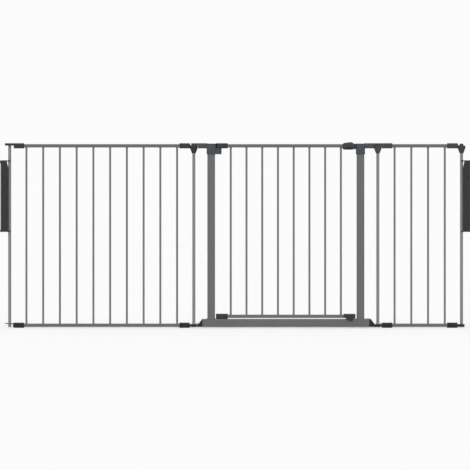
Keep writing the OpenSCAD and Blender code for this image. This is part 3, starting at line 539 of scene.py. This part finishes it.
# colour: name in GateColours; drift, span: strength and size of the change in tone;
# grain, pits, bump: size, pitting and depth of the texture; rough: at its lowest and highest;
# worn, rub: colour and share of rubbed edges; lines, cut: stretch and depth of scratches;
# dust: share of settled dust; metal: metallic
FINISHES = {
    "Powder coat": dict(
        colour="steel", drift=0.14, span=0.06, grain=0.0011, pits=0.25, bump=0.00006,
        rough=(0.40, 0.50), specular=0.45, worn=(0.26, 0.26, 0.27), rub=0.55,
        dust=0.35, lines=(900, 900, 14), cut=0.0),
    # Lighter copy of the powder coat for round parts: its colour paints their reflection of the
    # white surround.
    "Painted-reflection upright coat": dict(
        colour="uprights", drift=0.14, span=0.06, grain=0.0011, pits=0.25, bump=0.00006,
        rough=(0.32, 0.42), specular=0.5, worn=(0.28, 0.28, 0.29), rub=0.55,
        dust=0.35, lines=(900, 900, 14), cut=0.0),
    "Lug coat": dict(
        colour="lug", drift=0.16, span=0.02, grain=0.0011, pits=0.25, bump=0.00006,
        rough=(0.38, 0.50), specular=0.5, worn=(0.5, 0.5, 0.5), rub=0.7,
        dust=0.3, lines=(900, 900, 14), cut=0.0),
    "Fitting plastic": dict(
        colour="fitting", drift=0.30, span=0.012, grain=0.0005, pits=0.7, bump=0.00005,
        rough=(0.46, 0.60), specular=0.32, worn=(0.05, 0.05, 0.053), rub=0.55,
        dust=0.3, lines=(260, 900, 900), cut=0.15),
    "Bracket plastic": dict(
        colour="bracket", drift=0.30, span=0.010, grain=0.0005, pits=0.7, bump=0.00005,
        rough=(0.46, 0.60), specular=0.32, worn=(0.08, 0.09, 0.10), rub=0.5,
        dust=0.3, lines=(260, 900, 900), cut=0.15),
    "Handle plastic": dict(
        colour="handle", drift=0.22, span=0.015, grain=0.0006, pits=0.9, bump=0.00007,
        rough=(0.50, 0.64), specular=0.32, worn=(0.06, 0.06, 0.063), rub=0.6,
        dust=0.2, lines=(260, 900, 900), cut=0.2),
    # Near-black finish for painted shadow.
    "Painted-shadow black": dict(
        colour="shadow_black", drift=0.2, span=0.01, grain=0.0005, pits=0.6, bump=0.00005,
        rough=(0.62, 0.76), specular=0.15, worn=(0.02, 0.02, 0.02), rub=0.3,
        dust=0.15, lines=(260, 900, 900), cut=0.1),
    # Darker copy of the fitting plastic: painted shade near the floor.
    "Painted-shade plastic": dict(
        colour="foot", drift=0.30, span=0.012, grain=0.0005, pits=0.7, bump=0.00005,
        rough=(0.50, 0.64), specular=0.28, worn=(0.04, 0.04, 0.042), rub=0.5,
        dust=0.2, lines=(260, 900, 900), cut=0.15),
    # Lighter copy of the fitting plastic: painted highlight.
    "Painted-highlight plastic": dict(
        colour="highlit", drift=0.30, span=0.010, grain=0.0005, pits=0.7, bump=0.00005,
        rough=(0.46, 0.60), specular=0.32, worn=(0.07, 0.07, 0.072), rub=0.55,
        dust=0.3, lines=(260, 900, 900), cut=0.15),
    "Cassette plastic": dict(
        colour="cassette", drift=0.25, span=0.03, grain=0.0005, pits=0.7, bump=0.00005,
        rough=(0.44, 0.58), specular=0.32, worn=(0.055, 0.056, 0.062), rub=0.5,
        dust=0.3, lines=(900, 900, 120), cut=0.15),
    "Zinc plate": dict(
        colour="zinc", drift=0.35, span=0.008, grain=0.004, pits=1.0, bump=0.00002,
        rough=(0.30, 0.46), specular=0.5, worn=(0.6, 0.61, 0.63), rub=0.5,
        dust=0.2, lines=(900, 900, 30), cut=0.3, metal=1.0),
    "Bare steel": dict(
        colour="bare", drift=0.25, span=0.006, grain=0.0008, pits=0.2, bump=0.00002,
        rough=(0.24, 0.40), specular=0.5, worn=(0.7, 0.7, 0.7), rub=0.6,
        dust=0.1, lines=(1400, 1400, 60), cut=0.35, metal=1.0),
    # Darkened screw steel: painted shade of the screws' recess.
    "Shade-darkened steel": dict(
        colour="recess_shade", drift=0.3, span=0.004, grain=0.0008, pits=0.3, bump=0.00002,
        rough=(0.34, 0.48), specular=0.4, worn=(0.14, 0.14, 0.14), rub=0.4,
        dust=0.1, lines=(1400, 1400, 60), cut=0.35, metal=0.6),
}
# Tubes: the lighter copy with a lighter colour still, for a stronger painted reflection.
FINISHES["Painted-reflection tube coat"] = dict(FINISHES["Painted-reflection upright coat"], colour="tubes")


def finish(name):
    """A finish by name, made on first use from the shared effects."""
    found = bpy.data.materials.get(name)
    if found:
        return found
    spec = FINISHES[name]
    colours = bpy.context.scene.gate_colours
    material = bpy.data.materials.new(name)
    material.use_nodes = True
    tree = material.node_tree
    tree.nodes.clear()
    link = tree.links.new

    def use(effect_name, **inputs):
        group = bpy.data.node_groups.get(effect_name) or EFFECTS[effect_name]()
        made = add(tree, "ShaderNodeGroup")
        made.node_tree = group
        for key, value in inputs.items():
            made.inputs[key].default_value = value
        link(where.outputs["Object"], made.inputs["Vector"])
        return made

    where = add(tree, "ShaderNodeTexCoord")
    out = add(tree, "ShaderNodeOutputMaterial")
    shader = add(tree, "ShaderNodeBsdfPrincipled", {
        "Metallic": spec.get("metal", 0.0), "Specular IOR Level": spec["specular"]})
    link(shader.outputs[0], out.inputs["Surface"])
    drift = use("Tone drift", Size=spec["span"], Amount=spec["drift"],
                Colour=(*getattr(colours, spec["colour"]), 1))
    rub = use("Rubbed edges", Amount=spec["rub"])
    dust = use("Settled dust", Amount=spec["dust"])
    lines = use("Drawn lines", Stretch=spec["lines"], Low=0.60, High=0.78)
    grain = use("Fine grain", Size=spec["grain"], Pits=spec["pits"])

    worn = add(tree, "ShaderNodeMix", data_type="RGBA")
    worn.inputs[MIX_B].default_value = (*spec["worn"], 1)
    link(rub.outputs["Mask"], worn.inputs[0])
    link(drift.outputs["Colour"], worn.inputs[MIX_A])
    dusty = add(tree, "ShaderNodeMix", data_type="RGBA")
    dusty.inputs[MIX_B].default_value = (*colours.dust, 1)
    link(dust.outputs["Mask"], dusty.inputs[0])
    link(worn.outputs[MIX_COLOUR], dusty.inputs[MIX_A])
    link(dusty.outputs[MIX_COLOUR], shader.inputs["Base Color"])

    low, high = spec["rough"]
    sheen = add(tree, "ShaderNodeMapRange", {
        "From Min": 0.3, "From Max": 0.9, "To Min": low, "To Max": high})
    link(grain.outputs["Height"], sheen.inputs["Value"])
    dull = add(tree, "ShaderNodeMath", {1: 0.3}, operation="MULTIPLY_ADD")
    link(dust.outputs["Mask"], dull.inputs[0])
    link(sheen.outputs["Result"], dull.inputs[2])
    link(dull.outputs[0], shader.inputs["Roughness"])

    scored = add(tree, "ShaderNodeMath", {1: -spec["cut"]}, operation="MULTIPLY_ADD")
    link(lines.outputs["Mask"], scored.inputs[0])
    link(grain.outputs["Height"], scored.inputs[2])
    bump = add(tree, "ShaderNodeBump", {"Strength": 0.6, "Distance": spec["bump"]})
    link(scored.outputs[0], bump.inputs["Height"])
    link(bump.outputs["Normal"], shader.inputs["Normal"])
    return material


# ---------------------------------------------------------------- gate pieces


class GateOperator(bpy.types.Operator):
    """Base of the gate's operators"""

    bl_options = {"REGISTER", "UNDO"}

    def execute(self, context):
        self.build(context.scene.gate_sizes)
        return {"FINISHED"}


def upright_row(sizes, node, count, name):
    """One row of uprights with an uneven weld bead at each end."""
    lo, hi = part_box(node)
    toe, bar, bead_h = (hi.y - lo.y) / 2, sizes.upright_d / 2, sizes.weld_h
    tall = hi.z - lo.z
    bm = bmesh.new()
    for k in range(count):
        x = lo.x + toe + (hi.x - lo.x - 2 * toe) * k / (count - 1)

        def ripple(t, h, k=k):
            near = 1 if min(h, tall - h) < 0.75 * bead_h else 0
            end = 7 if h > tall / 2 else 0
            spot = Vector((math.cos(t) * 2.2, math.sin(t) * 2.2, k * 3.1 + end))
            return near * (noise.noise(spot) * 0.22 - 0.14) * MM

        step = toe - bar
        foot = [(toe, 0), (toe, 0.12), (bar + 0.72 * step, 0.34), (bar + 0.36 * step, 0.6),
                (bar + 0.10 * step, 0.86), (bar, 1.05)]
        foot = [(r, h * bead_h) for r, h in foot]
        profile = foot + [(r, tall - h) for r, h in reversed(foot)]
        turned(bm, profile, Matrix.Translation((x, (lo.y + hi.y) / 2, lo.z)), 24, ripple)
    # The uprights take the lighter copy of the coat, whose colour paints their reflection.
    return piece(bm, name, finish("Painted-reflection upright coat"), body_of(node), (node,))


class GATE_OT_uprights(GateOperator):
    """Uprights of the door and the two side panels, with their weld beads"""

    bl_idname = "gate.uprights"
    bl_label = "Uprights"

    def build(self, sizes):
        upright_row(sizes, "left_panel_uprights", sizes.left_uprights, "left_uprights")
        upright_row(sizes, "door_uprights", sizes.door_uprights, "door_bars")
        upright_row(sizes, "right_panel_uprights", sizes.right_uprights, "right_uprights")


class GATE_OT_steelwork(GateOperator):
    """Rails, tubes, posts and sill, with their coat and the beads at the posts' feet"""

    bl_idname = "gate.steelwork"
    bl_label = "Steelwork"

    def build(self, sizes):
        for node in (
            "sill", "left_post", "right_post", "door_top_rail", "door_bottom_rail",
            "left_panel_top_rail", "left_panel_bottom_rail",
            "right_panel_top_rail", "right_panel_bottom_rail",
        ):
            coat(node, finish("Powder coat"))
        # The round tubes take the lightest copy of the coat, whose colour paints their reflection.
        for node in ("gate_tube", "left_panel_tube", "right_panel_tube", "end_tube"):
            coat(node, finish("Painted-reflection tube coat"))
        bm = bmesh.new()
        lo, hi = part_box("sill")
        half, last = (hi.y - lo.y) / 2, 44
        for post in ("left_post", "right_post"):
            p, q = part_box(post)
            for side, face in ((-1, p.x), (1, q.x)):
                loops = []
                for i in range(last + 1):
                    y = -half + 0.3 * MM + (2 * half - 0.6 * MM) * i / last
                    over = max(0, abs(y) - (half - SILL_RADIUS))
                    z = hi.z - SILL_RADIUS + math.sqrt(max(0, SILL_RADIUS ** 2 - over ** 2))
                    leg = sizes.weld_leg * (1 + 0.10 * math.sin(i * 1.9) + 0.12 * noise.noise(
                        Vector((face * 90, i * 0.35, 0))))
                    out = Vector((side, 0, 0))
                    up = Vector((0, math.copysign(over / SILL_RADIUS, y), 0))
                    up.z = math.sqrt(max(0, 1 - up.y ** 2))
                    base = Vector((face, y, z))
                    shape = ((-0.3, -0.3), (1, -0.12), (1, 0.02), (0.62, 0.2), (0.34, 0.36),
                             (0.16, 0.62), (0.02, 1), (-0.3, 1))
                    loops.append([base + out * a * leg + up * b * leg for a, b in shape])
                skin(bm, loops)
        piece(bm, "post_welds", finish("Powder coat"), "gate_frame", (), 70)


def sleeve_details(bm, rail, open_x, inward, sizes):
    """Rim and two ribs at a sleeve's open end, round the rail's middle."""
    rlo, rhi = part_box(rail)
    mid = (rlo.z + rhi.z) / 2
    size = (rhi.y - rlo.y + SLEEVE_WALL[0], rhi.z - rlo.z + SLEEVE_WALL[1])
    for offset, width in ((0.4, sizes.rim_w / MM), (4.4, 1.1), (6.6, 1.1)):
        a = open_x + inward * offset * MM
        b = a + inward * width * MM
        band(bm, min(a, b), abs(b - a), mid, size, SLEEVE_RADIUS, sizes.rim_h)


def fitting(sizes, node, name, kind="Fitting plastic", slot="fitting_plastic", edge=None,
            extra=None, way="ABSOLUTE"):
    """A moulded fitting: the node's shape with rounded edges and its added details."""
    bm = rounded(bare_copy(node), edge or sizes.moulded_edge, way)
    if extra:
        extra(bm)
        for v in bm.verts:
            v.co.z = max(v.co.z, 0)
    return piece(bm, name, finish(kind), body_of(node), (node,))


class GATE_OT_corner_fittings(GateOperator):
    """Eyes, collars, shoes and feet at the corners of the side panels"""

    bl_idname = "gate.corner_fittings"
    bl_label = "Corner fittings"

    def build(self, sizes):
        for side in ("left", "right"):
            top, low = side + "_panel_top_rail", side + "_panel_bottom_rail"
            for part, rail, end in (("eye", top, 1), ("collar", top, -1),
                                    ("foot", low, 1), ("shoe", low, -1)):
                node = f"{side}_panel_{part}"
                lo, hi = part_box(node)
                x = hi.x if end > 0 else lo.x
                kind = "Fitting plastic"
                # Low fittings take the darker copy of the plastic, which paints shade near the
                # floor.
                if rail == low:
                    kind = "Painted-shade plastic"
                # The right panel's top fittings take the lighter copy, which paints a highlight.
                elif side == "right":
                    kind = "Painted-highlight plastic"
                fitting(sizes, node, f"{side}_{part}_fitting", kind,
                        extra=lambda bm, r=rail, x=x, e=end: sleeve_details(bm, r, x, -e, sizes))
        fitting(sizes, "end_tube_cap", "end_cap", edge=0.4 * MM)


class GATE_OT_lugs(GateOperator):
    """Pressed steel lugs at the feet of the pivot tubes"""

    bl_idname = "gate.lugs"
    bl_label = "Lugs"

    def build(self, sizes):
        for node, kind in (("gate_lug", "Lug coat"), ("right_panel_lug", "Lug coat"),
                           ("left_panel_lug", "Powder coat")):
            fitting(sizes, node, node + "_plate", kind, "painted_steel", sizes.sheet_edge,
                    way="OFFSET")


class GATE_OT_post_brackets(GateOperator):
    """Caps, arms and hinge or keeper blocks on top of the posts, and a near-black pad in the gap
    at the upper hinge sleeve that paints the shadow there
    """

    bl_idname = "gate.post_brackets"
    bl_label = "Post brackets"

    def build(self, sizes):
        for side in ("left", "right"):
            node = side + "_post_bracket"
            fitting(sizes, node, side + "_bracket", "Bracket plastic", "bracket_plastic")
        # Near-black pad in the gap at the upper hinge sleeve: painted shadow between the sleeve
        # and the hinge block.
        lo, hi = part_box("door_upper_sleeve")
        bm = bmesh.new()
        block(bm, (lo.x - 1 * MM, -8 * MM, lo.z + 0.4 * MM),
              (lo.x - 0.15 * MM, 8 * MM, hi.z - 1 * MM), 1 * MM)
        piece(bm, "hinge_shadow_pad", finish("Painted-shadow black"), "gate_frame", ())


class GATE_OT_sill_caps(GateOperator):
    """Sloped plugs in the ends of the sill"""

    bl_idname = "gate.sill_caps"
    bl_label = "Sill caps"

    def build(self, sizes):
        for side in ("left", "right"):
            # The sill caps take the darker copy of the plastic, which paints shade near the floor.
            fitting(sizes, "sill_cap_" + side, side + "_sill_cap", "Painted-shade plastic")


class GATE_OT_door_fittings(GateOperator):
    """Hinge sleeves and the lower catch of the door"""

    bl_idname = "gate.door_fittings"
    bl_label = "Door fittings"

    def build(self, sizes):
        for part, rail in (("upper", "door_top_rail"), ("lower", "door_bottom_rail")):
            node = f"door_{part}_sleeve"
            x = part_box(node)[1].x
            fitting(sizes, node, part + "_hinge_sleeve",
                    extra=lambda bm, r=rail, x=x: sleeve_details(bm, r, x, -1, sizes))
        fitting(sizes, "door_catch", "lower_catch", way="OFFSET")


class GATE_OT_handle(GateOperator):
    """Handle housing and cover, with grip ribs, near-black strips that paint the shadow of an
    undercut along the lower edge and across the neck, and the ridged thumb slide
    """

    bl_idname = "gate.handle"
    bl_label = "Handle"

    def build(self, sizes):
        lo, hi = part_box("handle_housing")

        def ribs(bm, first=9, step=4.2, foot=10 * MM, top=19 * MM, radius=0.55 * MM):
            for k in range(6):
                x = lo.x + (first + step * k) * MM
                for y in (lo.y, hi.y):
                    bead(bm, (x, y, lo.z + foot), (x, y, lo.z + top), radius)

        fitting(sizes, "handle_housing", "handle_body", "Handle plastic", "handle_plastic",
                extra=ribs)
        fitting(sizes, "handle_cover", "handle_lid", "Handle plastic", "handle_plastic",
                0.4 * MM)
        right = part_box("handle_cover")[1].x
        # Near-black strips along both faces of the handle's lower edge, out across the neck:
        # painted shadow of an undercut.
        bm = bmesh.new()
        for y in (lo.y, hi.y):
            block(bm, (lo.x + 1.5 * MM, y - 0.35 * MM, lo.z + 3.2 * MM),
                  (right - 0.3 * MM, y + 0.35 * MM, lo.z + 7.8 * MM), 0.3 * MM)
        piece(bm, "painted_shadow_strips", finish("Painted-shadow black"), "door", ())
        a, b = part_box("thumb_slide")

        def ridges(bm, first=9.5, step=3.2, sunk=0.75, slope=0.27, half=6.5 * MM):
            for k in range(4):
                x = b.x - (first + step * k) * MM
                z = b.z - (sunk + slope * k) * MM
                bead(bm, (x, -half, z), (x, half, z), 0.6 * MM)

        fitting(sizes, "thumb_slide", "thumb_pad", "Handle plastic", "handle_plastic",
                0.4 * MM, ridges)


class GATE_OT_latch(GateOperator):
    """Latch bolt and its coil spring"""

    bl_idname = "gate.latch"
    bl_label = "Latch"

    def build(self, sizes):
        fitting(sizes, "latch_bolt", "bolt", "Bare steel", "bare_steel", 0.5 * MM)
        lo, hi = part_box("latch_spring")
        wire = sizes.spring_wire / 2
        radius = (hi.z - lo.z) / 2 - wire
        axis = (lo + hi) / 2
        steps = int(sizes.spring_turns * 24)
        loops = []
        for i in range(steps + 1):
            t = 2 * math.pi * sizes.spring_turns * i / steps
            x = lo.x + wire + (hi.x - lo.x - 2 * wire) * i / steps
            out = Vector((0, math.cos(t), math.sin(t)))
            loops.append([
                Vector((x, axis.y, axis.z)) + out * (radius + wire * math.cos(s))
                + Vector((1, 0, 0)) * wire * math.sin(s)
                for s in [2 * math.pi * k / 10 for k in range(10)]])
        bm = bmesh.new()
        skin(bm, loops)
        spring = piece(bm, "spring", finish("Bare steel"), "door", ("latch_spring",))
        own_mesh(spring)


class GATE_OT_hinges(GateOperator):
    """Hinge pins and keyed bushes"""

    bl_idname = "gate.hinges"
    bl_label = "Hinges"

    def build(self, sizes):
        for level in ("upper", "lower"):
            coat(level + "_hinge_pin", finish("Bare steel"))
            coat(level + "_hinge_bush", finish("Fitting plastic"))


def screw_form(head_r, head_h, shank_r, length, drive):
    """Mesh of one screw, its head up, its seat at zero, with a cut drive."""
    bm = bmesh.new()
    profile = [(shank_r * 0.35, -length), (shank_r, -length + shank_r)]
    turns = int((length - shank_r - 0.6 * MM) / THREAD_PITCH)
    for k in range(turns):
        z = -length + shank_r + THREAD_PITCH * k
        profile += [(shank_r * 0.82, z + 0.25 * THREAD_PITCH),
                    (shank_r * 0.98, z + 0.7 * THREAD_PITCH)]
    profile += [(shank_r * 0.82, -0.3 * MM), (shank_r, 0), (head_r * 0.97, 0),
                (head_r, 0.18 * head_h), (head_r * 0.93, 0.5 * head_h),
                (head_r * 0.74, 0.84 * head_h), (head_r * 0.42, head_h), (0.1 * MM, head_h)]
    turned(bm, profile, Matrix.Identity(4), 28)
    base = bpy.data.meshes.new("screw_base")
    bm.to_mesh(base)
    bm.free()
    cutter = bmesh.new()
    arms = ((1.3, 0.24), (0.24, 1.3)) if drive == "cross" else ((1.9, 0.3),)
    reach = head_r / 2
    for a, b in arms:
        box = bmesh.ops.create_cube(cutter, size=1)["verts"]
        bmesh.ops.scale(cutter, verts=box, vec=(a * reach, b * reach, head_h * 1.1))
        bmesh.ops.translate(cutter, verts=box, vec=(0, 0, head_h * 0.95))
    tool = bpy.data.meshes.new("screw_tool")
    cutter.to_mesh(tool)
    cutter.free()
    a, b = (bpy.data.objects.new(m.name, m) for m in (base, tool))
    for o in (a, b):
        bpy.context.scene.collection.objects.link(o)
    cut = a.modifiers.new("Drive", "BOOLEAN")
    cut.operation, cut.object, cut.solver, cut.use_self = "DIFFERENCE", b, "EXACT", True
    graph = bpy.context.evaluated_depsgraph_get()
    made = bpy.data.meshes.new_from_object(a.evaluated_get(graph))
    for o in (a, b):
        bpy.data.objects.remove(o)
    return made


def shells(node):
    """Corners of the box round each separate solid of a node."""
    bm = bare_copy(node)
    left, boxes = set(bm.verts), []
    while left:
        todo, group = [left.pop()], []
        while todo:
            v = todo.pop()
            group.append(v.co.copy())
            for e in v.link_edges:
                w = e.other_vert(v)
                if w in left:
                    left.remove(w)
                    todo.append(w)
        boxes.append((Vector(min(p[k] for p in group) for k in range(3)),
                      Vector(max(p[k] for p in group) for k in range(3))))
    bm.free()
    return sorted(boxes, key=lambda box: tuple(box[0]))


def screws(node, name, facing, size, drive="cross", spin=0.3, kind="Bare steel"):
    """Screws in place of a node's plain ones. facing is the way that their heads look."""
    head_r, head_h, shank_r = size
    facing = Vector(facing)
    bm = bmesh.new()
    form = None
    for k, (lo, hi) in enumerate(shells(node)):
        long = abs((hi - lo).dot(facing))
        if form is None:
            form = screw_form(head_r, head_h, shank_r, long - head_h, drive)
        mid = (lo + hi) / 2
        top = mid + facing * long / 2
        place = along(facing, top - facing * head_h) @ Matrix.Rotation(spin + 1.3 * k, 4, "Z")
        mesh = form.copy()
        mesh.transform(place)
        bm.from_mesh(mesh)
    return piece(bm, name, finish(kind), body_of(node), (node,), 35)


class GATE_OT_screws(GateOperator):
    """All screws of the fittings, brackets, handle and wall cassettes"""

    bl_idname = "gate.screws"
    bl_label = "Screws"

    def build(self, sizes):
        pan = (3.2 * MM, 1.8 * MM, 1.5 * MM)
        screws("bracket_screws", "bracket_screw_set", (0, 1, 0), pan)
        screws("door_screws", "door_screw_set", (0, 1, 0), pan)
        screws("left_panel_screws", "left_screw_set", (0, 1, 0), pan)
        screws("right_panel_screws", "right_screw_set", (0, 1, 0), pan)
        screws("handle_screws", "handle_screw_set", (0, 0, -1), (3 * MM, 2 * MM, 1.5 * MM))
        # The lock screws take the near-black finish, which paints the shade of their recess.
        for side in ("left", "right"):
            screws(side + "_lock_screw", side + "_lock", (0, -1, 0),
                   (4.5 * MM, 2 * MM, 2 * MM), "slot", 0.6, "Shade-darkened steel")


class GATE_OT_wall_mounts(GateOperator):
    """Wall cassettes and the plated sheets behind them"""

    bl_idname = "gate.wall_mounts"
    bl_label = "Wall mounts"

    def build(self, sizes):
        for side in ("left", "right"):
            fitting(sizes, side + "_cassette", side + "_housing", "Cassette plastic",
                    "cassette_plastic")
            fitting(sizes, side + "_wall_plate", side + "_plate", "Zinc plate",
                    "zinc_plate", sizes.sheet_edge)


# ---------------------------------------------------------------- studio


class GATE_OT_studio(bpy.types.Operator):
    """Pale floor, soft lights and the camera"""

    bl_idname = "gate.studio"
    bl_label = "Studio"
    bl_options = {"REGISTER", "UNDO"}

    def execute(self, context):
        setup = context.scene.gate_studio
        self.camera(context.scene, setup)
        self.floor(context.scene, setup)
        self.lights(context.scene, setup)
        return {"FINISHED"}

    def camera(self, scene, setup):
        data = bpy.data.cameras.new("Camera")
        data.sensor_width = 36
        data.lens = data.sensor_width * setup.distance / setup.width
        data.clip_end = 200
        lo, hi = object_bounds()
        camera = bpy.data.objects.new("Camera", data)
        camera.location = (
            (lo.x + hi.x) / 2 + setup.aside, lo.y - setup.distance, setup.height)
        camera.rotation_euler = (math.pi / 2, 0, 0)
        scene.collection.objects.link(camera)
        scene.camera = camera

    def floor(self, scene, setup):
        bm = bmesh.new()
        bmesh.ops.create_circle(bm, cap_ends=True, segments=96, radius=90)
        mesh = bpy.data.meshes.new("studio_floor")
        bm.to_mesh(mesh)
        bm.free()
        material = bpy.data.materials.new("Studio floor")
        material.use_nodes = True
        shader = material.node_tree.nodes["Principled BSDF"]
        shader.inputs["Base Color"].default_value = (*setup.floor, 1)
        shader.inputs["Roughness"].default_value = 0.8
        shader.inputs["Specular IOR Level"].default_value = 0.1
        mesh.materials.append(material)
        floor = bpy.data.objects.new("studio_floor", mesh)
        scene.collection.objects.link(floor)
        floor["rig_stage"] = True

    def lights(self, scene, setup):
        world = bpy.data.worlds.new("Studio")
        world.use_nodes = True
        tree = world.node_tree
        ray = add(tree, "ShaderNodeLightPath")
        strength = add(tree, "ShaderNodeMapRange", {"To Min": setup.sky, "To Max": setup.backdrop})
        tree.links.new(ray.outputs["Is Camera Ray"], strength.inputs["Value"])
        ground = tree.nodes["Background"]
        ground.inputs["Color"].default_value = (1, 1, 1, 1)
        tree.links.new(strength.outputs["Result"], ground.inputs["Strength"])
        scene.world = world
        scene.view_settings.view_transform = "Standard"
        for name, power, turn, rise, spread in (
            ("key", setup.key, -18, 48, 50), ("fill", setup.fill, 45, 30, 70),
            ("back", setup.back, 165, 45, 70),
        ):
            data = bpy.data.lights.new("light_" + name, "SUN")
            data.energy = power
            data.angle = math.radians(spread)
            lamp = bpy.data.objects.new("light_" + name, data)
            a, e = math.radians(turn), math.radians(rise)
            to = Vector((math.sin(a) * math.cos(e), -math.cos(a) * math.cos(e), math.sin(e)))
            lamp.rotation_euler = to.to_track_quat("Z", "Y").to_euler()
            lamp.location = to * 8
            scene.collection.objects.link(lamp)


class GATE_PT_panel(bpy.types.Panel):
    """Lists the gate's settings and its pieces"""

    bl_idname = "GATE_PT_panel"
    bl_label = "Safety gate"
    bl_space_type = "VIEW_3D"
    bl_region_type = "UI"
    bl_category = "Safety gate"

    def draw(self, context):
        layout = self.layout
        for title, group in (("Sizes", context.scene.gate_sizes),
                             ("Colours", context.scene.gate_colours),
                             ("Studio", context.scene.gate_studio)):
            box = layout.box()
            box.label(text=title)
            for name in group.__annotations__:
                box.prop(group, name)
        for operator in OPERATORS:
            layout.operator(operator.bl_idname)


SETTINGS = (GateSizes, GateColours, GateStudio)
OPERATORS = (
    GATE_OT_steelwork, GATE_OT_uprights, GATE_OT_lugs, GATE_OT_corner_fittings,
    GATE_OT_sill_caps, GATE_OT_post_brackets, GATE_OT_hinges, GATE_OT_door_fittings,
    GATE_OT_handle, GATE_OT_latch, GATE_OT_screws, GATE_OT_wall_mounts, GATE_OT_studio,
)


def register():
    for cls in (*SETTINGS, *OPERATORS, GATE_PT_panel):
        bpy.utils.register_class(cls)
    bpy.types.Scene.gate_sizes = PointerProperty(type=GateSizes)
    bpy.types.Scene.gate_colours = PointerProperty(type=GateColours)
    bpy.types.Scene.gate_studio = PointerProperty(type=GateStudio)


def unregister():
    del bpy.types.Scene.gate_sizes
    del bpy.types.Scene.gate_colours
    del bpy.types.Scene.gate_studio
    for cls in (GATE_PT_panel, *reversed(OPERATORS), *reversed(SETTINGS)):
        bpy.utils.unregister_class(cls)


def main():
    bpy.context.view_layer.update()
    register()
    for operator in OPERATORS:
        group, name = operator.bl_idname.split(".")
        getattr(getattr(bpy.ops, group), name)()


if __name__ == "__main__":
    main()
